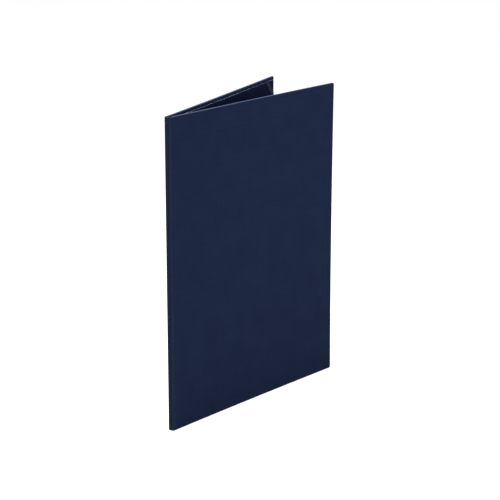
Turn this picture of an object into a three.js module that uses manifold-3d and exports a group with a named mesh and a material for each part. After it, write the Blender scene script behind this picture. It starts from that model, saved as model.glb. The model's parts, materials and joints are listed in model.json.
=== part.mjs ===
// A diploma cover: two cloth-covered leaves hinged on a narrow cloth spine, standing open like a card.
// Millimetres, +Z up. The spine is at -X and the mouth opens towards +X. The front leaf is on the
// -Y side. The back leaf, on the +Y side, carries the lining with the four corner ribbons.

import * as THREE from 'three';
import { TessellateModifier } from 'three/addons/modifiers/TessellateModifier.js';
import { mergeVertices } from 'three/addons/utils/BufferGeometryUtils.js';
import Module from 'manifold-3d';

const wasm = await Module();
wasm.setup();

// Leaves and spine
const leafWidth = 229;
const leafHeight = 292;
const spineWidth = 6.2;
const spineBow = 0.8;
const openingAngle = 14.9;
const cornerRadius = 2;
const edgeRound = 0.5;

// How far the fore edge has curled outwards. The middle of the front one's edge curls a little less.
const frontCurl = 3.3;
const frontCurlRelief = 0.8;
const backCurl = 2.6;

// Sheets that the cover is made of, and the film of glue that keeps one off the next
const clothThickness = 0.25;
const boardThickness = 1.3;
const liningThickness = 0.4;
const ribbonThickness = 0.15;
const glueFilm = 0.15;

// Cloth folded over the board's edges, and the strip that lines the spine inside
const turnIn = 15;
const mitreSlit = 0.2;
const mitreStop = 1;
const boardSetback = 3.5;
const stripLap = 18;
const stripButt = 0.5;
const foldGap = 0.15;

// Lining sheets and corner ribbons
const liningInset = 3;
const ribbonWidth = 5.5;
const ribbonLeg = 20;
const ribbonTuck = 7;

// Facets: how much of the glue film a flat facet may cut off a curl, and the steps round small arcs
const facetShare = 0.4;
const arcSteps = 6;
const roundSteps = 2;

// Values that follow from the sizes above. A depth is measured in from a leaf's outer face.
const leafThickness = 2 * clothThickness + 2 * glueFilm + boardThickness;
const foldedDepth = 2 * clothThickness + glueFilm;
const boardDepth = clothThickness + glueFilm;
const stepStart = boardSetback - glueFilm - clothThickness;
const overrun = 5;
const curlStep = 2 * leafWidth * Math.sqrt(facetShare * glueFilm / Math.max(frontCurl, backCurl));

// Colours
const clothBlue = 0x1f2942;
const boardGrey = 0x8f8a80;
const liningBlue = 0x1a2236;
const ribbonBlue = 0x2a2f40;

// Solids
// Flat leaf axes: x runs from the fold to the fore edge, y is the depth and z is the height.

function solidOf(geometry) {
  geometry.deleteAttribute('normal');
  geometry.deleteAttribute('uv');
  const merged = mergeVertices(geometry, 1e-5);
  return new wasm.Manifold(new wasm.Mesh({
    numProp: 3,
    vertProperties: merged.attributes.position.array,
    triVerts: Uint32Array.from(merged.index.array),
  }));
}

function geometryOf(solid) {
  const { vertProperties, triVerts } = solid.getMesh();
  const geometry = new THREE.BufferGeometry();
  geometry.setAttribute('position', new THREE.BufferAttribute(vertProperties, 3));
  geometry.setIndex(new THREE.BufferAttribute(triVerts, 1));
  return geometry;
}

function box([x0, x1], [y0, y1], [z0, z1]) {
  const geometry = new THREE.BoxGeometry(x1 - x0, y1 - y0, z1 - z0);
  return solidOf(geometry.translate((x0 + x1) / 2, (y0 + y1) / 2, (z0 + z1) / 2));
}

// A section in the depth plane, drawn out along the height.
function upright(shape, z0, z1) {
  const geometry = new THREE.ExtrudeGeometry(shape, {
    depth: z1 - z0, bevelEnabled: false, curveSegments: arcSteps,
  });
  return solidOf(geometry.translate(0, 0, z0));
}

// A plan outline, drawn out through a range of depths, with its rims rounded by rim.
function sheet(shape, depth0, depth1, rim = 0) {
  const geometry = new THREE.ExtrudeGeometry(shape, {
    depth: depth1 - depth0 - 2 * rim, bevelEnabled: rim > 0, bevelSize: rim, bevelThickness: rim,
    bevelOffset: -rim, bevelSegments: roundSteps, curveSegments: arcSteps,
  });
  return solidOf(geometry.rotateX(Math.PI / 2).translate(0, depth1 - rim, 0));
}

const polygon = (points) => new THREE.Shape(points.map(([x, y]) => new THREE.Vector2(x, y)));

// Flat leaf pieces

// The leaf's outline inside its head, tail and fore edge. It runs on past the fold.
function leafPlan(inset) {
  const right = leafWidth - inset;
  const top = leafHeight - inset;
  const radius = cornerRadius - inset;
  const plan = new THREE.Shape().moveTo(-overrun, inset).lineTo(right - radius, inset);
  plan.absarc(right - radius, inset + radius, radius, -Math.PI / 2, 0);
  plan.absarc(right - radius, top - radius, radius, 0, Math.PI / 2);
  return plan.lineTo(-overrun, top);
}

// Everything on the leaf's side of the 45 degree plane through the fold.
function besideFold() {
  const deep = leafThickness + overrun;
  const corner = [-overrun + foldGap, -overrun];
  return upright(polygon([
    corner, [leafWidth + overrun, -overrun], [leafWidth + overrun, deep], [deep + foldGap, deep],
  ]), -overrun, leafHeight + overrun);
}

// The cloth on the inside face, which steps down off the board's edge to the outer cloth at the fold.
function innerClothSection(reach) {
  const inside = leafThickness - clothThickness;
  return polygon([
    [-overrun, foldedDepth], [stepStart, foldedDepth], [stepStart, leafThickness],
    [reach, leafThickness], [reach, inside], [stepStart + clothThickness, inside],
    [stepStart + clothThickness, boardDepth], [-overrun, boardDepth],
  ]);
}

// The whole leaf with its stepped inside face.
function leafSection() {
  return polygon([
    [-overrun, 0], [leafWidth, 0], [leafWidth, leafThickness], [stepStart, leafThickness],
    [stepStart, foldedDepth], [-overrun, foldedDepth],
  ]);
}

// The space between the outer cloth and the turned-in cloth.
function pocketSection() {
  const inside = leafThickness - clothThickness;
  return polygon([
    [-2 * overrun, clothThickness], [leafWidth, clothThickness], [leafWidth, inside],
    [stepStart + clothThickness, inside], [stepStart + clothThickness, boardDepth],
    [-2 * overrun, boardDepth],
  ]);
}

// The slit where the two turn-ins meet at a fore-edge corner.
function mitre(isHead) {
  const reach = turnIn - mitreStop;
  const geometry = new THREE.BoxGeometry(reach * Math.SQRT2, 3 * clothThickness, mitreSlit);
  geometry.rotateY((isHead ? -1 : 1) * Math.PI / 4);
  const centre = mitreStop + reach / 2;
  const depth = leafThickness - clothThickness / 2;
  return solidOf(geometry.translate(leafWidth - centre, depth, isHead ? leafHeight - centre : centre));
}

// One leaf's cloth: the outer face, the folds over three edges and the turn-ins with mitred corners.
function leafCloth() {
  const slab = sheet(leafPlan(0), 0, leafThickness, edgeRound);
  const body = slab.intersect(upright(leafSection(), 0, leafHeight));
  const pocket = sheet(leafPlan(clothThickness), 0, leafThickness)
    .intersect(upright(pocketSection(), 0, leafHeight));
  const window = box(
    [-2 * overrun, leafWidth - turnIn],
    [clothThickness, leafThickness + overrun],
    [turnIn, leafHeight - turnIn],
  );
  return body.subtract(pocket).subtract(window)
    .subtract(mitre(true)).subtract(mitre(false)).intersect(besideFold());
}

function leafBoard() {
  const plan = sheet(leafPlan(boardDepth), boardDepth, boardDepth + boardThickness);
  return plan.intersect(box(
    [boardSetback, leafWidth], [0, leafThickness], [0, leafHeight],
  ));
}

// The leaf's share of the strip that lines the inside of the spine, between the two turn-ins.
function leafStrip() {
  const strip = innerClothSection(boardSetback + stripLap);
  return upright(strip, turnIn + stripButt, leafHeight - turnIn - stripButt).intersect(besideFold());
}

// The lining's edges in the flat leaf, and the depth of its underside.
const lining = {
  left: boardSetback + liningInset,
  right: leafWidth - liningInset,
  bottom: liningInset,
  top: leafHeight - liningInset,
};
const frontLiningDepth = leafThickness + glueFilm;
const backLiningDepth = frontLiningDepth + ribbonThickness + glueFilm;

function leafLining(depth) {
  return box([lining.left, lining.right], [depth, depth + liningThickness], [lining.bottom, lining.top]);
}

// A ribbon across one corner of the back lining. Both ends wrap over the lining's edge and turn
// back under it. along and up are measured in from the lining's corner.
function cornerRibbon(isOuter, isHead) {
  const onLeaf = ([along, up]) => [
    isOuter ? lining.right - along : lining.left + along,
    isHead ? lining.top - up : lining.bottom + up,
  ];
  const swap = ([along, up]) => [up, along];
  const wrap = glueFilm + ribbonThickness;
  const near = ribbonLeg - ribbonWidth * Math.SQRT2 + wrap;
  const far = ribbonLeg + wrap;
  const top = backLiningDepth + liningThickness + wrap;
  const under = frontLiningDepth;
  const tuck = ribbonTuck + wrap;

  const band = [[near, -wrap], [far, -wrap], [-wrap, far], [-wrap, near]];
  const edge = [[near, -wrap], [far, -wrap], [far, -glueFilm], [near, -glueFilm]];
  const tail = [[near, -wrap], [far, -wrap], [far + tuck, ribbonTuck], [near + tuck, ribbonTuck]];
  const piece = (points, depth0, depth1) => sheet(polygon(points.map(onLeaf)), depth0, depth1);

  let ribbon = piece(band, top - ribbonThickness, top);
  for (const turn of [(points) => points, (points) => points.map(swap)]) {
    ribbon = ribbon.add(piece(turn(edge), under, top));
    ribbon = ribbon.add(piece(turn(tail), under, under + ribbonThickness));
  }
  return ribbon;
}

// Spine pieces
// The spine's x is the depth behind the two folds and its y runs across. It bows outwards between them.

const bowRadius = (spineWidth ** 2 / 4 + spineBow ** 2) / (2 * spineBow);

// A bowed layer of the spine between two depths.
function bowedSection(depth0, depth1) {
  const centre = bowRadius - spineBow;
  const spread = 1.2 * Math.asin(spineWidth / 2 / bowRadius);
  const section = new THREE.Shape();
  section.absarc(centre, 0, bowRadius - depth0, Math.PI - spread, Math.PI + spread);
  section.absarc(centre, 0, bowRadius - depth1, Math.PI + spread, Math.PI - spread, true);
  return section;
}

// Everything between the two 45 degree planes through the folds.
function betweenFolds() {
  const half = spineWidth / 2 - foldGap;
  const deep = foldedDepth + glueFilm;
  const out = spineBow + overrun;
  return upright(polygon([
    [-out, -half - out], [deep, -half + deep], [deep, half - deep], [-out, half + out],
  ]), -overrun, leafHeight + overrun);
}

// The spine's cloth, folded back on itself at head and tail.
function spineCloth() {
  const body = upright(bowedSection(0, foldedDepth), 0, leafHeight);
  const film = upright(
    bowedSection(clothThickness, boardDepth), clothThickness, leafHeight - clothThickness,
  );
  const window = upright(
    bowedSection(clothThickness, foldedDepth + glueFilm), turnIn, leafHeight - turnIn,
  );
  return body.subtract(film).subtract(window).intersect(betweenFolds());
}

function spineStrip() {
  const strip = bowedSection(boardDepth, foldedDepth);
  return upright(strip, turnIn + stripButt, leafHeight - turnIn - stripButt).intersect(betweenFolds());
}

// Placing

// Bends a flat leaf piece outwards by its curl, and mirrors it for the leaf on the +Y side.
function curled(solid, { side, curl, relief }) {
  const fine = new TessellateModifier(curlStep, 16).modify(geometryOf(solid));
  const place = fine.attributes.position;
  for (let i = 0; i < place.count; i += 1) {
    const out = place.getX(i) / leafWidth;
    const up = 2 * place.getZ(i) / leafHeight - 1;
    const lift = curl * out ** 2 - relief * out * (1 - up ** 2);
    place.setY(i, side * (place.getY(i) - lift));
  }
  const merged = mergeVertices(fine, 1e-5);
  if (side < 0) merged.index.array.reverse();
  return merged;
}

function named(name, geometry, color, roughness) {
  const faceted = geometry.toNonIndexed();
  faceted.computeVertexNormals();
  const material = new THREE.MeshStandardMaterial({ color, roughness, metalness: 0 });
  const mesh = new THREE.Mesh(faceted, material);
  mesh.name = name;
  return mesh;
}

const cloth = (name, geometry) => named(name, geometry, clothBlue, 0.85);
const board = (name, geometry) => named(name, geometry, boardGrey, 0.95);
const liningSheet = (name, geometry) => named(name, geometry, liningBlue, 0.7);
const ribbon = (name, geometry) => named(name, geometry, ribbonBlue, 0.45);

const front = { side: 1, curl: frontCurl, relief: frontCurlRelief };
const back = { side: -1, curl: backCurl, relief: 0 };

function frontLeaf() {
  return new THREE.Group().add(
    cloth('front_cloth', curled(leafCloth(), front)),
    board('front_board', curled(leafBoard(), front)),
    cloth('front_hinge_strip', curled(leafStrip(), front)),
    liningSheet('front_lining', curled(leafLining(frontLiningDepth), front)),
  );
}

function backLeaf() {
  const leaf = new THREE.Group().add(
    cloth('back_cloth', curled(leafCloth(), back)),
    board('back_board', curled(leafBoard(), back)),
    cloth('back_hinge_strip', curled(leafStrip(), back)),
    liningSheet('back_lining', curled(leafLining(backLiningDepth), back)),
  );
  for (const isHead of [true, false]) {
    for (const isOuter of [true, false]) {
      const name = `ribbon_${isHead ? 'top' : 'bottom'}_${isOuter ? 'outer' : 'inner'}`;
      leaf.add(ribbon(name, curled(cornerRibbon(isOuter, isHead), back)));
    }
  }
  return leaf;
}

function spine() {
  return new THREE.Group().add(
    cloth('spine_cloth', geometryOf(spineCloth())),
    cloth('spine_strip', geometryOf(spineStrip())),
  );
}

// Each leaf turns about the fold at its side of the spine, by half the opening.
function diplomaCover() {
  const turn = THREE.MathUtils.degToRad(openingAngle / 2);
  const leaves = [frontLeaf(), backLeaf()];
  for (const [leaf, side] of [[leaves[0], 1], [leaves[1], -1]]) {
    leaf.position.y = -side * spineWidth / 2;
    leaf.rotation.z = -side * turn;
  }
  const middle = new THREE.Group().add(spine(), ...leaves);
  const size = new THREE.Box3().setFromObject(middle, true);
  const centre = size.getCenter(new THREE.Vector3());
  middle.position.set(-centre.x, -centre.y, -size.min.z);
  const cover = new THREE.Group().add(middle);
  cover.updateMatrixWorld(true);
  return cover;
}

export default diplomaCover();
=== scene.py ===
# %% [markdown]
# A diploma cover in navy book cloth
#
# The cover stands open like a greeting card: two stiff leaves and a narrow spine between them.
# The frame gives the rigid pieces at their real size and the two folds that the leaves turn on.
# Everything soft or visible is modelled here around that frame, in metres.

# %% Load the frame
import json
import math

import bmesh
import bpy
import numpy as np
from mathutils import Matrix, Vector


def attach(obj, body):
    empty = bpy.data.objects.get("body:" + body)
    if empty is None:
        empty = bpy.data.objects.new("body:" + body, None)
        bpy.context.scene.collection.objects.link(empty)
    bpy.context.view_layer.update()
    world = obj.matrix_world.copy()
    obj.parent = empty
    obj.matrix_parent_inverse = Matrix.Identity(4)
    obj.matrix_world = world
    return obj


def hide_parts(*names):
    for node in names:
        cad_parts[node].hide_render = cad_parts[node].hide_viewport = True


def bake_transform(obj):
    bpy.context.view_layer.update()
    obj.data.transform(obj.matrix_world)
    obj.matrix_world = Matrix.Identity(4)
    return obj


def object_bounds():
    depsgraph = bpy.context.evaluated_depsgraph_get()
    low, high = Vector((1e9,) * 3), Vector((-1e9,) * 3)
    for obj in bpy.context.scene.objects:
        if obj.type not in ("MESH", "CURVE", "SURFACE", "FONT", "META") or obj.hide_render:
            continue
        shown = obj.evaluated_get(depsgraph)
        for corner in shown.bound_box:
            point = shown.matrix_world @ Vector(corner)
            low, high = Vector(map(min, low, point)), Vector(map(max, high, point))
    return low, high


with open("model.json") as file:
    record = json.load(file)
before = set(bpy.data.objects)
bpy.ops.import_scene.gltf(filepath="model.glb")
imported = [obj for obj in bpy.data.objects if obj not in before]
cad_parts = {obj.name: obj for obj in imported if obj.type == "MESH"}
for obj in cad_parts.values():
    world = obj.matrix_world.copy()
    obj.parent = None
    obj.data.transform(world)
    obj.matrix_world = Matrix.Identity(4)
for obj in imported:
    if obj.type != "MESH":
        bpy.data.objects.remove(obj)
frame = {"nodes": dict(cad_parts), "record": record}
cad_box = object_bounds()
print("frame box", [list(corner) for corner in cad_box])

# %% [markdown]
# Sizes
#
# A turned-edge cover has a board wrapped in cloth, so most sizes are thicknesses and laps. Depths
# are measured in from a leaf's outer face. The folds come from the frame's two hinges.

# %% Sizes of the leaves and the sheets
MM = 0.001
hinges = {row["name"]: Vector(row["pos_m"]) for row in frame["record"]["behaviour"]["joints"]}
front_fold = hinges["front_hinge"]
back_fold = hinges["back_hinge"]
spine_width = back_fold.y - front_fold.y
leaf_height = cad_box[1].z - cad_box[0].z
leaf_width = 229 * MM
half_opening = math.radians(14.9 / 2)

cloth_thickness = 0.25 * MM
glue_film = 0.15 * MM
board_thickness = 1.3 * MM
lining_thickness = 0.4 * MM
ribbon_thickness = 0.15 * MM
leaf_thickness = 2 * cloth_thickness + 2 * glue_film + board_thickness
folded_depth = 2 * cloth_thickness + glue_film
LINING_INSET = 3.0 * MM
LINING_LEFT = 6.5 * MM
lining_right = leaf_width - LINING_INSET
lining_top = leaf_height - LINING_INSET
print("leaf", leaf_width, leaf_height, leaf_thickness, "spine", spine_width)

# %% The two leaves, and how far each has curled outwards
LEAVES = {
    "front": {"side": 1, "fold": front_fold, "curl": 3.3 * MM, "relief": 0.8 * MM},
    "back": {"side": -1, "fold": back_fold, "curl": 2.6 * MM, "relief": 0.0},
}
for key, leaf in LEAVES.items():
    print(key, "fold at", list(leaf["fold"]), "curl", leaf["curl"])

# %% [markdown]
# The line of the cloth across a fold
#
# Seen from above, the cloth runs from the middle of the spine, round a fold and out along the
# leaf. A hard corner would look like card, so the spine bows outwards and a curve eases the fold.
# The line is worked out once and stored as points, normals and the distance along the cloth.

# %% Cloth line from the middle of the spine to the leaf
SPINE_BOW = 0.8 * MM
FOLD_EASE = 1.5 * MM
SPINE_STEPS = 12
FOLD_STEPS = 12
LINE_END = 1.2 * leaf_width

bow_radius = (spine_width ** 2 / 4 + SPINE_BOW ** 2) / (2 * SPINE_BOW)
spine_angle = math.pi / 2 + half_opening
toward_middle = np.array([math.cos(spine_angle), math.sin(spine_angle)])
outward = np.array([-math.sin(spine_angle), math.cos(spine_angle)])


def spine_point(across):
    """A point on the bowed spine, at a distance from the fold, and the direction of the cloth."""
    rest = spine_width / 2 - across
    level = math.sqrt(bow_radius ** 2 - rest ** 2)
    point = toward_middle * across + outward * (level - bow_radius + SPINE_BOW)
    return point, toward_middle + outward * rest / level


def cloth_line():
    """The cloth seen from above: distance along it, points, and the way in from each point."""
    spine = [spine_point(a)[0] for a in np.linspace(spine_width / 2, FOLD_EASE, SPINE_STEPS + 1)]
    start, heading = spine_point(FOLD_EASE)
    bend = start - heading * start[1] / heading[1]
    end = np.array([FOLD_EASE, 0.0])
    ease = []
    for t in np.linspace(0, 1, FOLD_STEPS + 1)[1:]:
        ease.append((1 - t) ** 2 * start + 2 * t * (1 - t) * bend + t ** 2 * end)
    points = np.array(spine + ease)
    reach = np.concatenate([[0], np.cumsum(np.linalg.norm(np.diff(points, axis=0), axis=1))])
    heading = np.gradient(points, reach, axis=0)
    heading /= np.linalg.norm(heading, axis=1)[:, None]
    heading[0] = -toward_middle
    heading[-1] = [1.0, 0.0]
    inward = np.column_stack([-heading[:, 1], heading[:, 0]])
    along = reach - reach[-1] + FOLD_EASE
    points = np.vstack([points, [LINE_END, 0.0]])
    return np.append(along, LINE_END), points, np.vstack([inward, [0.0, 1.0]])


line_along, line_points, line_inward = cloth_line()


# %% Placing a point of a leaf in the frame
def on_leaf(leaf, along, depth, height):
    """Points of a leaf, from the distance along the cloth, the depth and the height."""
    along, depth, height = np.broadcast_arrays(along, depth, height)
    x, y = (np.interp(along, line_along, line_points[:, i]) for i in (0, 1))
    inward_x, inward_y = (np.interp(along, line_along, line_inward[:, i]) for i in (0, 1))
    x = x + depth * inward_x
    y = y + depth * inward_y
    out = np.maximum(x, 0) / leaf_width
    up = 2 * height / leaf_height - 1
    y = y - leaf["curl"] * out ** 2 + leaf["relief"] * out * (1 - up ** 2)
    turn_x, turn_y = math.cos(half_opening), math.sin(half_opening)
    return np.stack([
        leaf["fold"].x + x * turn_x + y * turn_y,
        leaf["fold"].y + leaf["side"] * (y * turn_x - x * turn_y),
        height + 0 * x,
    ], axis=-1)


# %% [markdown]
# From points to a sheet
#
# Every cloth or card piece here is a thin sheet. The quickest honest way to make one is to lay a
# grid of points on its visible side and give it thickness with Solidify, so that the finished
# mesh is closed and its folds have an inside. The grid also carries the distance along the cloth
# as its UV map, so that a weave follows every fold.

# %% Sheet maker
WELD = 0.002 * MM
SHARP = math.radians(35)


def add_patch(bm, points, flat):
    """Adds a grid of quads. flat gives each point's place on the unfolded sheet."""
    layer = bm.loops.layers.uv.get("UVMap") or bm.loops.layers.uv.new("UVMap")
    rows, columns = points.shape[:2]
    verts = [[bm.verts.new(points[i, j]) for j in range(columns)] for i in range(rows)]
    for i in range(rows - 1):
        for j in range(columns - 1):
            corners = [(i, j), (i + 1, j), (i + 1, j + 1), (i, j + 1)]
            face = bm.faces.new([verts[a][b] for a, b in corners])
            for loop, (a, b) in zip(face.loops, corners):
                loop[layer].uv = flat[a, b]


def sheet_object(name, patches, thickness, inward_hint, rim_slot=0):
    """Welds the patches, and thickens them towards the side that inward_hint points to."""
    bm = bmesh.new()
    for points, flat in patches:
        add_patch(bm, points, flat)
    bmesh.ops.remove_doubles(bm, verts=bm.verts, dist=WELD)
    bmesh.ops.dissolve_degenerate(bm, edges=bm.edges, dist=WELD)
    bmesh.ops.recalc_face_normals(bm, faces=bm.faces)
    largest = max(bm.faces, key=lambda face: face.calc_area())
    if largest.normal.dot(Vector(inward_hint)) > 0:
        bmesh.ops.reverse_faces(bm, faces=bm.faces)
    mesh = bpy.data.meshes.new(name)
    bm.to_mesh(mesh)
    bm.free()
    piece = bpy.data.objects.new(name, mesh)
    bpy.context.collection.objects.link(piece)
    solid = piece.modifiers.new("thickness", "SOLIDIFY")
    solid.thickness = thickness
    solid.offset = -1
    solid.use_even_offset = True
    solid.use_rim = True
    solid.material_offset_rim = rim_slot
    return piece


def settle(piece, *materials):
    """Applies the modifiers, so that the mesh is final, and smooths its shading."""
    for material in materials:
        piece.data.materials.append(material)
    graph = bpy.context.evaluated_depsgraph_get()
    final = bpy.data.meshes.new_from_object(piece.evaluated_get(graph))
    final.name = piece.name
    piece.modifiers.clear()
    piece.data = final
    final.shade_smooth()
    final.set_sharp_from_angle(angle=SHARP)
    print(piece.name, len(final.vertices), "points", len(final.polygons), "faces")
    return piece


# %% [markdown]
# Effects that several materials share
#
# Book cloth, satin and card all need a fine height pattern and a slow drift of colour. Both are
# node groups, built once, and each material gives them its own scale.


# %% Shorthand for math nodes
def calc(tree, operation, *values):
    """Adds a math node. Each value is a plain number or another node's output."""
    node = tree.nodes.new("ShaderNodeMath")
    node.operation = operation
    for socket, value in zip(node.inputs, values):
        if isinstance(value, (int, float)):
            socket.default_value = value
        else:
            tree.links.new(value, socket)
    return node.outputs[0]


def new_group(name, inputs, outputs):
    """A shader group with the named sockets, its tree, and its input and output nodes."""
    tree = bpy.data.node_groups.new(name, "ShaderNodeTree")
    for label, kind, value in inputs:
        socket = tree.interface.new_socket(label, in_out="INPUT", socket_type=kind)
        if value is not None:
            socket.default_value = value
    for label, kind in outputs:
        tree.interface.new_socket(label, in_out="OUTPUT", socket_type=kind)
    return tree, tree.nodes.new("NodeGroupInput"), tree.nodes.new("NodeGroupOutput")


# %% [markdown]
# Plain weave
#
# In a plain weave each thread passes over one crossing thread and under the next. Seen close, the
# cloth is a chequer of short rounded threads, turned in alternate cells. Two ridges and a chequer
# give that height, and a random value for each thread gives the slight streaks that dyed yarn has.
# A picture of cloth could be tiled here instead, but a formula stays sharp from any distance.


# %% Plain weave group
THREAD_SWELL = 0.45
THREAD_ROUNDNESS = 0.5


def plain_weave_group():
    tree, given, result = new_group(
        "Plain weave",
        [("Place", "NodeSocketVector", None), ("Pitch", "NodeSocketFloat", 0.4 * MM)],
        [("Height", "NodeSocketFloat"), ("Streak", "NodeSocketFloat")],
    )
    split = tree.nodes.new("ShaderNodeSeparateXYZ")
    tree.links.new(given.outputs["Place"], split.inputs[0])
    across = [calc(tree, "DIVIDE", split.outputs[i], given.outputs["Pitch"]) for i in (0, 1)]
    cells = [calc(tree, "FLOOR", value) for value in across]
    ridges = []
    for value in across:
        wave = calc(tree, "SINE", calc(tree, "MULTIPLY", value, math.pi))
        ridges.append(calc(tree, "ABSOLUTE", wave))
    threads = []
    for over, along in ((ridges[0], ridges[1]), (ridges[1], ridges[0])):
        rise = calc(tree, "MULTIPLY_ADD", along, THREAD_SWELL, 1 - THREAD_SWELL)
        threads.append(calc(tree, "MULTIPLY", calc(tree, "POWER", over, THREAD_ROUNDNESS), rise))
    chequer = calc(tree, "FLOORED_MODULO", calc(tree, "ADD", cells[0], cells[1]), 2.0)
    step = calc(tree, "SUBTRACT", threads[0], threads[1])
    tree.links.new(calc(tree, "MULTIPLY_ADD", chequer, step, threads[1]), result.inputs["Height"])
    random = []
    for cell in cells:
        noise = tree.nodes.new("ShaderNodeTexWhiteNoise")
        noise.noise_dimensions = "1D"
        tree.links.new(cell, noise.inputs["W"])
        random.append(noise.outputs["Value"])
    tree.links.new(
        calc(tree, "MULTIPLY", calc(tree, "ADD", random[0], random[1]), 0.5),
        result.inputs["Streak"],
    )
    return tree


plain_weave = plain_weave_group()
print("group", plain_weave.name, len(plain_weave.nodes), "nodes")


# %% [markdown]
# Slow drift
#
# Dyed cloth and card are never one flat colour. A broad noise drifts the tone by a few percent
# over some centimetres, and a finer one stands for fibres and lint. One group serves them all,
# because only the two scales differ.


# %% Slow drift group
def drift_group():
    tree, given, result = new_group(
        "Slow drift",
        [
            ("Place", "NodeSocketVector", None),
            ("Broad", "NodeSocketFloat", 25.0),
            ("Fine", "NodeSocketFloat", 1500.0),
        ],
        [("Tone", "NodeSocketFloat"), ("Fibre", "NodeSocketFloat")],
    )
    for label, scale, detail in (("Tone", "Broad", 2.0), ("Fibre", "Fine", 4.0)):
        noise = tree.nodes.new("ShaderNodeTexNoise")
        noise.inputs["Detail"].default_value = detail
        tree.links.new(given.outputs["Place"], noise.inputs["Vector"])
        tree.links.new(given.outputs[scale], noise.inputs["Scale"])
        tree.links.new(noise.outputs["Fac"], result.inputs[label])
    return tree


drift = drift_group()
print("group", drift.name, len(drift.nodes), "nodes")


# %% [markdown]
# Edge wear
#
# Cloth and card go paler where hands and shelves rub them: along the board edges and over the
# fold. The unfolded place of a point tells how far it is from those four lines, so the group
# fades from one on a line to nothing a little way off, and a noise breaks the band up. It could be
# painted on by hand, but a formula stays on the edges when a size changes.


# %% Edge wear group
PATCH_SCALE = 220.0
PATCH_DETAIL = 3.0
PATCH_SPAN = 0.8
PATCH_LEAST = 0.5


def edge_wear_group():
    tree, given, result = new_group(
        "Edge wear",
        [
            ("Place", "NodeSocketVector", None),
            ("Low", "NodeSocketVector", None),
            ("High", "NodeSocketVector", None),
            ("Spread", "NodeSocketFloat", 2.0 * MM),
        ],
        [("Mask", "NodeSocketFloat")],
    )
    nearest = None
    for limit in ("Low", "High"):
        offset = tree.nodes.new("ShaderNodeVectorMath")
        offset.operation = "SUBTRACT"
        tree.links.new(given.outputs["Place"], offset.inputs[0])
        tree.links.new(given.outputs[limit], offset.inputs[1])
        split = tree.nodes.new("ShaderNodeSeparateXYZ")
        tree.links.new(offset.outputs[0], split.inputs[0])
        for axis in (0, 1):
            away = calc(tree, "ABSOLUTE", split.outputs[axis])
            nearest = away if nearest is None else calc(tree, "MINIMUM", nearest, away)
    fade = tree.nodes.new("ShaderNodeMapRange")
    fade.interpolation_type = "SMOOTHSTEP"
    fade.inputs["To Min"].default_value = 1.0
    fade.inputs["To Max"].default_value = 0.0
    tree.links.new(nearest, fade.inputs["Value"])
    tree.links.new(given.outputs["Spread"], fade.inputs["From Max"])
    noise = tree.nodes.new("ShaderNodeTexNoise")
    noise.inputs["Scale"].default_value = PATCH_SCALE
    noise.inputs["Detail"].default_value = PATCH_DETAIL
    tree.links.new(given.outputs["Place"], noise.inputs["Vector"])
    patchy = calc(tree, "MULTIPLY_ADD", noise.outputs["Fac"], PATCH_SPAN, PATCH_LEAST)
    tree.links.new(calc(tree, "MULTIPLY", fade.outputs["Result"], patchy), result.inputs["Mask"])
    return tree


edge_wear = edge_wear_group()
print("group", edge_wear.name, len(edge_wear.nodes), "nodes")

# A line set this many metres off leaves the cloth unworn.
FAR = 9.0


# %% [markdown]
# A start for every finish
#
# Cloth, card, satin and board are all dull surfaces whose gloss is even, so each finish starts from
# one Principled shader. What is the same all over is set on the shader's own socket, and only what
# changes over the surface is wired in: the colour, and the height of the bump.


# %% What the finishes share
def new_finish(name, roughness, specular, sheen, sheen_roughness, sheen_tint):
    """A material with a Principled BSDF whose even values are set, and its unfolded place."""
    material = bpy.data.materials.new(name)
    material.use_nodes = True
    tree = material.node_tree
    shader = tree.nodes["Principled BSDF"]
    shader.inputs["Roughness"].default_value = roughness
    shader.inputs["Specular IOR Level"].default_value = specular
    shader.inputs["Sheen Weight"].default_value = sheen
    shader.inputs["Sheen Roughness"].default_value = sheen_roughness
    shader.inputs["Sheen Tint"].default_value = (*sheen_tint, 1.0)
    place = tree.nodes.new("ShaderNodeUVMap")
    place.uv_map = "UVMap"
    return material, tree, shader, place.outputs["UV"]


def use_group(tree, group, **values):
    """Places a group in a material, with a value or a link for each of its named inputs."""
    node = tree.nodes.new("ShaderNodeGroup")
    node.node_tree = group
    for label, value in values.items():
        if isinstance(value, (int, float, tuple)):
            node.inputs[label].default_value = value
        else:
            tree.links.new(value, node.inputs[label])
    return node.outputs


def mix_colour(tree, amount, low, high):
    """A colour between low and high, each of which is three numbers or another node's output."""
    node = tree.nodes.new("ShaderNodeMix")
    node.data_type = "RGBA"
    tree.links.new(amount, node.inputs["Factor"])
    for socket, colour in (("A", low), ("B", high)):
        target = next(i for i in node.inputs if i.identifier == f"{socket}_Color")
        if isinstance(colour, tuple):
            target.default_value = (*colour, 1.0)
        else:
            tree.links.new(colour, target)
    return next(o for o in node.outputs if o.identifier == "Result_Color")


def add_bump(tree, shader, height, depth, strength):
    """Tilts the shading by a height, which stands for a depth in metres."""
    bump = tree.nodes.new("ShaderNodeBump")
    bump.inputs["Strength"].default_value = strength
    bump.inputs["Distance"].default_value = depth
    tree.links.new(height, bump.inputs["Height"])
    tree.links.new(bump.outputs["Normal"], shader.inputs["Normal"])


# %% [markdown]
# Book cloth
#
# The cover is a matt, starched cotton in deep navy. It has almost no gloss face on, and a soft
# grey bloom where the fibres are seen edge on, so the shader leans on sheen, not on a highlight.


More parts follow.
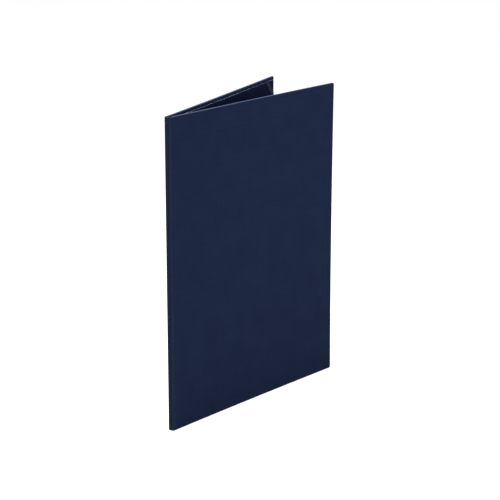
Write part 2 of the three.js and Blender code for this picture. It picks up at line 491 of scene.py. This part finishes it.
# %% Book cloth finish
WEAVE_PITCH = 0.42 * MM
WEAVE_DEPTH = 0.09 * MM
NAVY_DARK = (0.0056, 0.0110, 0.0318)
NAVY_LIGHT = (0.0163, 0.0280, 0.0731)
FOLD_PALE = (0.060, 0.070, 0.105)
EDGE_PALE = (0.105, 0.120, 0.165)
FOLD_RUB = 0.2
EDGE_RUB = 0.3
STREAK_SHARE = 0.25
FIBRE_SHARE = 0.2
DRIFT_SHARE = 0.45
# Share of painted shade between the threads, taken from the weave height.
WEAVE_GAP_SHADE = 0.3
TONE_DROP = 0.1


def cloth_tone(tree, weave, slow):
    """How light the yarn is: its streak, fibres and drift, and painted shade between threads."""
    tone = calc(tree, "MULTIPLY", weave["Streak"], STREAK_SHARE)
    tone = calc(tree, "MULTIPLY_ADD", slow["Fibre"], FIBRE_SHARE, tone)
    tone = calc(tree, "SUBTRACT", tone, TONE_DROP)
    tone = calc(tree, "MULTIPLY_ADD", slow["Tone"], DRIFT_SHARE, tone)
    # Painted shade: the weave height darkens the gaps between threads and lightens their crowns.
    return calc(tree, "MULTIPLY_ADD", weave["Height"], WEAVE_GAP_SHADE, tone)


def book_cloth():
    material, tree, shader, place = new_finish(
        "book_cloth", roughness=0.9, specular=0.05,
        sheen=0.12, sheen_roughness=0.3, sheen_tint=(0.6, 0.68, 0.9),
    )
    weave = use_group(tree, plain_weave, Place=place, Pitch=WEAVE_PITCH)
    slow = use_group(tree, drift, Place=place, Broad=45.0, Fine=2200.0)
    half_edge = leaf_thickness / 2
    edges = use_group(
        tree, edge_wear, Place=place, Low=(-FAR, -half_edge, 0.0),
        High=(leaf_width + half_edge, leaf_height + half_edge, 0.0), Spread=2.0 * MM,
    )
    fold = use_group(
        tree, edge_wear, Place=place, Low=(0.0, -FAR, 0.0), High=(FAR, FAR, 0.0), Spread=2.2 * MM,
    )
    colour = mix_colour(tree, cloth_tone(tree, weave, slow), NAVY_DARK, NAVY_LIGHT)
    colour = mix_colour(tree, calc(tree, "MULTIPLY", fold["Mask"], FOLD_RUB), colour, FOLD_PALE)
    colour = mix_colour(tree, calc(tree, "MULTIPLY", edges["Mask"], EDGE_RUB), colour, EDGE_PALE)
    tree.links.new(colour, shader.inputs["Base Color"])
    add_bump(tree, shader, weave["Height"], WEAVE_DEPTH, 0.8)
    return material


cover_cloth = book_cloth()
print("finish", cover_cloth.name, len(cover_cloth.node_tree.nodes), "nodes")


# %% [markdown]
# Lining card
#
# The lining is a smooth navy card, cut square. Its face is coloured and faintly fibrous, and its
# cut edge shows the paler core of the card, which draws a thin light line round the sheet. A mask
# could draw that line on one material, but two materials keep it exactly as thick as the card.


# %% Lining finishes
CARD_DARK = (0.0050, 0.0106, 0.0345)
CARD_LIGHT = (0.0082, 0.0160, 0.0510)
CARD_PALE = (0.120, 0.132, 0.175)
CARD_RUB = 0.6
CORE_DARK = (0.130, 0.142, 0.190)
CORE_LIGHT = (0.220, 0.235, 0.300)


def lining_face():
    material, tree, shader, place = new_finish(
        "lining_face", roughness=0.8, specular=0.02,
        sheen=0.0, sheen_roughness=0.4, sheen_tint=(0.6, 0.66, 0.8),
    )
    slow = use_group(tree, drift, Place=place, Broad=30.0, Fine=900.0)
    tone = calc(tree, "MULTIPLY_ADD", slow["Fibre"], 0.6, calc(tree, "MULTIPLY", slow["Tone"], 0.4))
    colour = mix_colour(tree, tone, CARD_DARK, CARD_LIGHT)
    rub = use_group(
        tree, edge_wear, Place=place, Low=(LINING_LEFT, LINING_INSET, 0.0),
        High=(lining_right, lining_top, 0.0), Spread=0.9 * MM,
    )
    colour = mix_colour(tree, calc(tree, "MULTIPLY", rub["Mask"], CARD_RUB), colour, CARD_PALE)
    tree.links.new(colour, shader.inputs["Base Color"])
    add_bump(tree, shader, slow["Fibre"], 0.02 * MM, 0.5)
    return material


def lining_edge():
    material, tree, shader, place = new_finish(
        "lining_edge", roughness=0.8, specular=0.2,
        sheen=0.0, sheen_roughness=0.5, sheen_tint=(1.0, 1.0, 1.0),
    )
    slow = use_group(tree, drift, Place=place, Broad=60.0, Fine=3000.0)
    colour = mix_colour(tree, slow["Fibre"], CORE_DARK, CORE_LIGHT)
    tree.links.new(colour, shader.inputs["Base Color"])
    return material


card_face = lining_face()
card_edge = lining_edge()
print("finishes", card_face.name, card_edge.name)


# %% [markdown]
# Satin ribbon
#
# Satin floats its warp threads along the ribbon, so it has fine lines down its length and a
# softer, longer shine than the cloth. An anisotropic shader could stretch the shine, but on so
# narrow a ribbon a lower roughness and a height of parallel ridges are enough.


# %% Satin finish
WARP_PITCH = 0.16 * MM
SATIN_DARK = (0.0070, 0.0112, 0.0400)
SATIN_LIGHT = (0.0110, 0.0168, 0.0540)


def satin():
    material, tree, shader, place = new_finish(
        "satin_ribbon", roughness=0.45, specular=0.02,
        sheen=0.01, sheen_roughness=0.3, sheen_tint=(0.75, 0.78, 0.9),
    )
    split = tree.nodes.new("ShaderNodeSeparateXYZ")
    tree.links.new(place, split.inputs[0])
    turn = calc(tree, "MULTIPLY", split.outputs[1], 2 * math.pi / WARP_PITCH)
    lines = calc(tree, "MULTIPLY", calc(tree, "SINE", turn), 0.25)
    slow = use_group(tree, drift, Place=place, Broad=120.0, Fine=2500.0)
    height = calc(tree, "MULTIPLY_ADD", slow["Fibre"], 0.6, lines)
    colour = mix_colour(tree, slow["Tone"], SATIN_DARK, SATIN_LIGHT)
    tree.links.new(colour, shader.inputs["Base Color"])
    add_bump(tree, shader, height, 0.02 * MM, 0.5)
    return material


ribbon_satin = satin()
print("finish", ribbon_satin.name, len(ribbon_satin.node_tree.nodes), "nodes")


# %% [markdown]
# Binder's board
#
# The boards lie hidden inside the cloth. They still get the grey, flecked look of pressed waste
# paper, because the cover can be opened up in an exploded view. Their shape in the frame is right
# as it is, so they only need a material.


# %% Board finish
GREY_DARK = (0.20, 0.185, 0.16)
GREY_LIGHT = (0.34, 0.32, 0.28)


def greyboard():
    material, tree, shader, _ = new_finish(
        "greyboard", roughness=0.95, specular=0.2,
        sheen=0.0, sheen_roughness=0.5, sheen_tint=(1.0, 1.0, 1.0),
    )
    place = tree.nodes.new("ShaderNodeTexCoord").outputs["Object"]
    slow = use_group(tree, drift, Place=place, Broad=90.0, Fine=1200.0)
    colour = mix_colour(tree, slow["Fibre"], GREY_DARK, GREY_LIGHT)
    tree.links.new(colour, shader.inputs["Base Color"])
    add_bump(tree, shader, slow["Fibre"], 0.08 * MM, 0.5)
    return material


board_finish = greyboard()
for board in (frame["nodes"]["front_board"], frame["nodes"]["back_board"]):
    board.data.materials.clear()
    board.data.materials.append(board_finish)
    print("finish", board_finish.name, "on", board.name)

# %% [markdown]
# The cover cloth
#
# One sheet of cloth covers the outside, wraps three edges of each board and is glued down inside.
# At the corners the turn-ins meet in a mitre. The outside is a plain grid. Round its three free
# edges run rings of points, each a copy of the leaf's outline moved in by some distance. The same
# rings go over the edge and back along the inside, so the mitre forms by itself where they turn.
# Near the fold there is no board, and the turned-in cloth steps down onto the outer cloth. A
# rounded box would have the same outline when shut, but it would open on a bare inside.

# %% Sizes of the wrap
EDGE_ROUND = 0.5 * MM
CORNER_RADIUS = 2.0 * MM
MARGIN = 6.0 * MM
STEP_FROM = 2.5 * MM
STEP_TO = 3.35 * MM
TURN_IN = 15.0 * MM
CORNER_STEPS = 7
EDGE_STEPS = 5
CREASE = 0.4 * MM
CREASE_DEPTH = 0.2 * MM
SQUEEZE = 30.0 * MM
OUTER_INSETS = (MARGIN, 3.0 * MM, 1.2 * MM)
INNER_INSETS = (1.2 * MM, 2.2 * MM, 3.5 * MM, 6.0 * MM, 10.0 * MM, TURN_IN)


def inner_depth(along):
    """Depth of the turned-in cloth's face, which steps down beside the fold."""
    rise = np.clip((np.asarray(along) - STEP_FROM) / (STEP_TO - STEP_FROM), 0, 1)
    return folded_depth + (leaf_thickness - folded_depth) * rise ** 2 * (3 - 2 * rise)


# %% Rings over the edge
def ring_profile():
    """For each ring, its inset from the edge, its depth and its unfolded reach past the edge."""
    rings = [lambda t, inset=inset: (inset, 0 * t, -inset) for inset in OUTER_INSETS]

    def edge(t, angle, is_inner):
        """A ring on the rounded edge of a leaf of thickness t, at an angle from the outer face."""
        radius = np.minimum(EDGE_ROUND, t / 2)
        inset = radius * (1 - math.sin(angle))
        depth = t - radius * (1 + math.cos(angle)) if is_inner else radius * (1 - math.cos(angle))
        wall = t - 2 * radius if is_inner else 0 * t
        return inset, depth, radius * (angle - 1) + wall

    for angle in np.linspace(0, math.pi / 2, EDGE_STEPS):
        rings.append(lambda t, angle=angle: edge(t, angle, False))
    for angle in np.linspace(math.pi / 2, math.pi, EDGE_STEPS):
        rings.append(lambda t, angle=angle: edge(t, angle, True))
    for inset in INNER_INSETS:
        rings.append(lambda t, inset=inset: (inset, t, t + inset))
    return rings


print("rings over the edge", len(ring_profile()))


def squeeze(values, last, new_last, length):
    """Moves the samples near the corner, so that the last of them lands on new_last."""
    start = length - SQUEEZE
    share = np.clip((values - start) / (last - start), 0, None)
    return np.where(values > start, start + share * (new_last - start), values)


# %% The grid of the outside and the rings round it
last_along = leaf_width - MARGIN - CREASE
last_height = leaf_height - MARGIN - CREASE
STRETCHES = (
    (FOLD_EASE, STEP_FROM, 5),
    (STEP_FROM, STEP_TO, 8),
    (STEP_TO, last_along, 40),
)
HEIGHT_SAMPLES = 24

past_fold = [np.linspace(start, end, count)[1:] for start, end, count in STRETCHES]
along_samples = np.concatenate([line_along[:-1], *past_fold])
height_half = np.linspace(leaf_height / 2, last_height, HEIGHT_SAMPLES)
print("cloth grid", len(along_samples), "by", 2 * HEIGHT_SAMPLES - 1)


def mirror_run(run):
    """A run of points at the head, turned into the same run at the tail in reverse order."""
    along, depth, height = run
    return along[::-1], depth[::-1], leaf_height - height[::-1]


def mirror_flat(run):
    """The same for the run's places on the unfolded sheet."""
    along, height = run
    return along[::-1], leaf_height - height[::-1]


def ring_points(leaf, ring):
    """One ring, from the spine along the head, down the fore edge and back along the tail."""
    full = leaf_thickness
    inset, depth, reach = (float(v) for v in ring(np.float64(full)))
    radius = max(CORNER_RADIUS - inset, 0)
    corner = leaf_width - inset - radius
    top = leaf_height - inset - radius
    is_inside = inset > EDGE_ROUND and depth > full / 2

    head_along = squeeze(along_samples, last_along, corner - CREASE, leaf_width)
    head_inset, head_depth, head_reach = ring(inner_depth(head_along))
    head = (head_along, head_depth + 0 * head_along, leaf_height - head_inset + 0 * head_along)
    head_flat = (head_along, leaf_height + head_reach + 0 * head_along)

    angles = np.linspace(math.pi / 2, 0, CORNER_STEPS)
    is_seam = np.isclose(angles, math.pi / 4) | (radius == 0)
    arc_depth = depth - np.where(is_seam & is_inside, CREASE_DEPTH, 0)
    arc = (corner + radius * np.cos(angles), arc_depth, top + radius * np.sin(angles))
    wide = radius + inset + reach
    arc_flat = (corner + wide * np.cos(angles), top + wide * np.sin(angles))

    upper = squeeze(height_half, last_height, top - CREASE, leaf_height)[::-1]
    side_height = np.concatenate([upper, leaf_height - upper[::-1][1:]])
    side = (leaf_width - inset + 0 * side_height, depth + 0 * side_height, side_height)
    side_flat = (leaf_width + reach + 0 * side_height, side_height)

    runs = [head, arc, side, mirror_run(arc), mirror_run(head)]
    flats = [head_flat, arc_flat, side_flat, mirror_flat(arc_flat), mirror_flat(head_flat)]
    place = [np.concatenate([run[i] for run in runs]) for i in range(3)]
    flat = np.stack([np.concatenate([run[i] for run in flats]) for i in range(2)], axis=-1)
    return on_leaf(leaf, *place), flat


# %% Cover cloth pieces
BEND_REACH = 1.8 * MM


def leaf_cloth(name, leaf):
    """The cloth of one leaf, from the middle of the spine to the turned-in edges."""
    rows = [ring_points(leaf, ring) for ring in ring_profile()]
    rings = np.array([row[0] for row in rows]), np.array([row[1] for row in rows])
    upper = np.append(height_half, leaf_height - MARGIN)
    heights = np.concatenate([leaf_height - upper[::-1], upper[1:]])
    alongs = np.append(along_samples, leaf_width - MARGIN)
    along, height = np.meshgrid(alongs, heights, indexing="ij")
    face = on_leaf(leaf, along, 0 * along, height), np.stack([along, height], axis=-1)
    inward = (0, leaf["side"], 0)
    return sheet_object(name, [face, rings], cloth_thickness, inward)


def fold_span(leaf):
    """Two points that straddle a fold, on the spine's side and on the leaf's."""
    here, there = (on_leaf(leaf, along, 0.0, 0.0) for along in (-BEND_REACH, BEND_REACH))
    return Vector(here), Vector(there)


front_skin = settle(leaf_cloth("front_leaf_cloth", LEAVES["front"]), cover_cloth)
back_skin = settle(leaf_cloth("back_leaf_cloth", LEAVES["back"]), cover_cloth)
for skin, key, body, nodes in (
    (front_skin, "front", "front_cover", ("front_cloth", "spine_cloth")),
    (back_skin, "back", "back_cover", ("back_cloth",)),
):
    start, end = fold_span(LEAVES[key])
    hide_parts(*nodes)
    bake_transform(skin)

# %% [markdown]
# The strip inside the spine
#
# A second piece of the same cloth lines the inside of the spine and laps onto both boards, so
# that no bare board shows when the cover lies flat. It fills the space between the turn-ins. It
# could be cut out of the cover cloth's mesh, but a grid of its own is a true second layer, and it
# takes its samples from the cover cloth, so the two bend alike.

# %% Spine strip
STRIP_REACH = 21.5 * MM
STRIP_BUTT = 0.1 * MM
LAP_SAMPLES = 7
STRIP_SAMPLES = 40


def fold_strip(name, leaf):
    """Half of the strip, from the middle of the spine to its edge on one leaf."""
    alongs = np.concatenate([
        along_samples[along_samples < STEP_TO + WELD],
        np.linspace(STEP_TO, STRIP_REACH, LAP_SAMPLES)[1:],
    ])
    low = TURN_IN + STRIP_BUTT
    heights = np.linspace(low, leaf_height - low, STRIP_SAMPLES)
    along, height = np.meshgrid(alongs, heights, indexing="ij")
    grid = on_leaf(leaf, along, inner_depth(along), height), np.stack([along, height], axis=-1)
    return sheet_object(name, [grid], cloth_thickness, (0, -leaf["side"], 0))


front_strip = settle(fold_strip("front_fold_strip", LEAVES["front"]), cover_cloth)
back_strip = settle(fold_strip("back_fold_strip", LEAVES["back"]), cover_cloth)
for strip, key, body, nodes in (
    (front_strip, "front", "front_cover", ("front_hinge_strip", "spine_strip")),
    (back_strip, "back", "back_cover", ("back_hinge_strip",)),
):
    start, end = fold_span(LEAVES[key])
    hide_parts(*nodes)
    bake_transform(strip)

# %% [markdown]
# The linings
#
# Each leaf is lined with one cut sheet of card, 3 mm inside the edges. The back one stands a
# little prouder, because the ribbons' ends are caught under it. A thin box would have the right
# outline but couldn't follow the curl of the board, so a grid is laid on the leaf and thickened.
# Solidify gives the rim a material of its own, which is the pale cut edge.

# %% Lining sheets
LINING_ACROSS = 48
LINING_UP = 60
EASED_EDGE = 0.15 * MM
front_lining_depth = leaf_thickness + glue_film
back_lining_depth = front_lining_depth + ribbon_thickness + glue_film


def lining_sheet(name, leaf, depth):
    """A lining whose underside lies at a depth below the leaf's outer face."""
    alongs = np.linspace(LINING_LEFT, lining_right, LINING_ACROSS)
    heights = np.linspace(LINING_INSET, lining_top, LINING_UP)
    along, height = np.meshgrid(alongs, heights, indexing="ij")
    top = depth + lining_thickness
    grid = on_leaf(leaf, along, top, height), np.stack([along, height], axis=-1)
    piece = sheet_object(name, [grid], lining_thickness, (0, -leaf["side"], 0), rim_slot=1)
    rim = piece.modifiers.new("eased edge", "BEVEL")
    rim.width = EASED_EDGE
    rim.segments = 2
    return piece


for key, depth in (("front", front_lining_depth), ("back", back_lining_depth)):
    lining = settle(lining_sheet(f"{key}_lining_sheet", LEAVES[key], depth), card_face, card_edge)
    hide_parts(f"{key}_lining")
    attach(lining, f"{key}_cover")

# %% [markdown]
# The corner ribbons
#
# A satin ribbon crosses each corner of the back lining, and the certificate's corner slips under
# it. A bevelled curve could draw it, but its width would twist where it meets the edge aslant. So
# the ribbon is a straight strip on the unfolded sheet. What passes the lining's edge is wrapped
# round a small half circle and runs back underneath, which gives the true folded path.

# %% Ribbon sizes and path
RIBBON_WIDTH = 5.5 * MM
RIBBON_LEG = 20.0 * MM
RIBBON_TUCK = 7.0 * MM
TUCK_SAMPLES = 8
WRAP_SAMPLES = 13
FACE_STEPS = 19
WIDTH_SAMPLES = 9
ribbon_top = back_lining_depth + lining_thickness + glue_film + ribbon_thickness
wrap_radius = (ribbon_top - front_lining_depth) / 2
print("ribbon wraps at a radius of", wrap_radius / MM, "mm")


def wrap(inset):
    """Where a point of the flat ribbon goes: its inset from the lining's edge, and its drop."""
    past = np.maximum(-inset, 0)
    angle = np.minimum(past / wrap_radius, math.pi)
    under = np.maximum(past - math.pi * wrap_radius, 0)
    folded = -wrap_radius * np.sin(angle) + under
    return np.where(inset < 0, folded, inset), wrap_radius * (1 - np.cos(angle))


def corner_ribbon(name, is_outer, is_head):
    """A strip across a corner. total is both insets of a point together, length their difference."""
    leaf = LEAVES["back"]
    near = RIBBON_LEG - RIBBON_WIDTH * math.sqrt(2)
    bend = math.pi * wrap_radius
    tucked = np.linspace(bend + RIBBON_TUCK, bend, TUCK_SAMPLES)[:-1]
    past = np.concatenate([tucked, np.linspace(bend, 0, WRAP_SAMPLES)])
    first = len(past)
    last = first + FACE_STEPS
    steps = np.arange(last + first)
    totals = np.linspace(near, RIBBON_LEG, WIDTH_SAMPLES)
    step, total = np.meshgrid(steps, totals, indexing="ij")
    share = np.interp(step, [first - 1, last], [-1, 1])
    spare = np.interp(step, np.arange(first), past) * (step < first)
    spare = spare - np.interp(step, np.arange(first) + last, past[::-1]) * (share == 1)
    length = share * total - 2 * spare
    side_inset, side_drop = wrap((total + length) / 2)
    end_inset, end_drop = wrap((total - length) / 2)
    along = lining_right - side_inset if is_outer else LINING_LEFT + side_inset
    height = lining_top - end_inset if is_head else LINING_INSET + end_inset
    points = on_leaf(leaf, along, ribbon_top - side_drop - end_drop, height)
    flat = np.stack([length, total], axis=-1) / math.sqrt(2)
    return sheet_object(name, [(points, flat)], ribbon_thickness, (0, -leaf["side"], 0))


# %% Ribbons at the four corners
for is_head in (True, False):
    for is_outer in (True, False):
        place = f"{'top' if is_head else 'bottom'}_{'outer' if is_outer else 'inner'}"
        ribbon = settle(corner_ribbon(f"satin_{place}", is_outer, is_head), ribbon_satin)
        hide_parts(f"ribbon_{place}")
        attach(ribbon, "back_cover")

# %% [markdown]
# Floor, light and camera
#
# The cover stands on a plain pale floor. A soft lamp overhead picks out the top edges, a small one
# in front and one at the left keep the upright faces even, and the leaves shade their own inside.
# The camera's place, turn and lens come from fitting the cover's outline to the picture's.

# %% What the camera sees as white
def seen_directly(tree):
    """One for rays from the camera, and for those that leave glass or a shiny face."""
    path = tree.nodes.new("ShaderNodeLightPath")
    seen = calc(tree, "MAXIMUM", path.outputs["Is Camera Ray"], path.outputs["Is Transmission Ray"])
    return calc(tree, "MAXIMUM", seen, path.outputs["Is Glossy Ray"])


# %% Floor
FLOOR_SIZE = 6.0
FLOOR_GREY = 0.3
FLOOR_GLOW = 0.9


def pale_floor():
    material = bpy.data.materials.new("pale_floor")
    material.use_nodes = True
    tree = material.node_tree
    shader = tree.nodes["Principled BSDF"]
    shader.inputs["Base Color"].default_value = (FLOOR_GREY, FLOOR_GREY, FLOOR_GREY, 1.0)
    shader.inputs["Roughness"].default_value = 0.9
    shader.inputs["Specular IOR Level"].default_value = 0.0
    shader.inputs["Emission Color"].default_value = (1.0, 1.0, 1.0, 1.0)
    glow = calc(tree, "MULTIPLY", seen_directly(tree), FLOOR_GLOW)
    tree.links.new(glow, shader.inputs["Emission Strength"])
    return material


floor_mesh = bpy.data.meshes.new("floor")
bm = bmesh.new()
bmesh.ops.create_grid(bm, x_segments=1, y_segments=1, size=FLOOR_SIZE / 2)
bm.to_mesh(floor_mesh)
bm.free()
floor = bpy.data.objects.new("floor", floor_mesh)
bpy.context.collection.objects.link(floor)
floor_mesh.materials.append(pale_floor())
print("floor", FLOOR_SIZE, "m across")

# %% World
WORLD_LIGHT = 0.35
world = bpy.data.worlds.new("studio")
bpy.context.scene.world = world
world.use_nodes = True
sky = world.node_tree
sky.nodes.clear()
ambient = sky.nodes.new("ShaderNodeBackground")
ambient.inputs["Strength"].default_value = WORLD_LIGHT
white = sky.nodes.new("ShaderNodeBackground")
white.inputs["Color"].default_value = (1.0, 1.0, 1.0, 1.0)
blend = sky.nodes.new("ShaderNodeMixShader")
sky.links.new(seen_directly(sky), blend.inputs[0])
sky.links.new(ambient.outputs[0], blend.inputs[1])
sky.links.new(white.outputs[0], blend.inputs[2])
sky.links.new(blend.outputs[0], sky.nodes.new("ShaderNodeOutputWorld").inputs[0])
print("world light", WORLD_LIGHT)

# %% Lamps
# Each row is a lamp's name, its place, its width in metres and its power in watts.
LAMPS = (
    ("overhead", (-0.1, 0.3, 1.1), 0.7, 34.0),
    ("front_fill", (-0.02, -0.65, 0.34), 0.36, 2.2),
    ("left_kicker", (-1.2, -0.3, 0.4), 0.6, 1.7),
)


def soft_lamp(name, place, target, size, power):
    """A round area lamp that points at a target."""
    data = bpy.data.lights.new(name, "AREA")
    data.shape = "DISK"
    data.size = size
    data.energy = power
    lamp = bpy.data.objects.new(name, data)
    bpy.context.collection.objects.link(lamp)
    lamp.location = place
    aim = Vector(target) - Vector(place)
    lamp.rotation_euler = aim.to_track_quat("-Z", "Y").to_euler()
    print("lamp", name, "at", place, "with", power, "watts")


middle = (0.0, 0.0, leaf_height / 2)
for name, place, size, power in LAMPS:
    soft_lamp(name, place, middle, size, power)

# %% Camera
FOCAL_PIXELS = 1679.9
PHOTO_PIXELS = 500.0
VIEW_TURN = math.radians(33.013)
VIEW_PITCH = math.radians(15.782)
CAMERA_PLACE = (-1.2793, -0.8436, 0.5782)

camera = bpy.data.objects.new("camera", bpy.data.cameras.new("camera"))
bpy.context.collection.objects.link(camera)
camera.data.sensor_width = 36.0
camera.data.lens = FOCAL_PIXELS * camera.data.sensor_width / PHOTO_PIXELS
camera.data.clip_start = 0.05
camera.location = CAMERA_PLACE
camera.rotation_euler = (math.pi / 2 - VIEW_PITCH, 0, VIEW_TURN - math.pi / 2)
scene = bpy.context.scene
scene.camera = camera
scene.view_settings.view_transform = "Standard"
print("camera", list(camera.location), camera.data.lens)
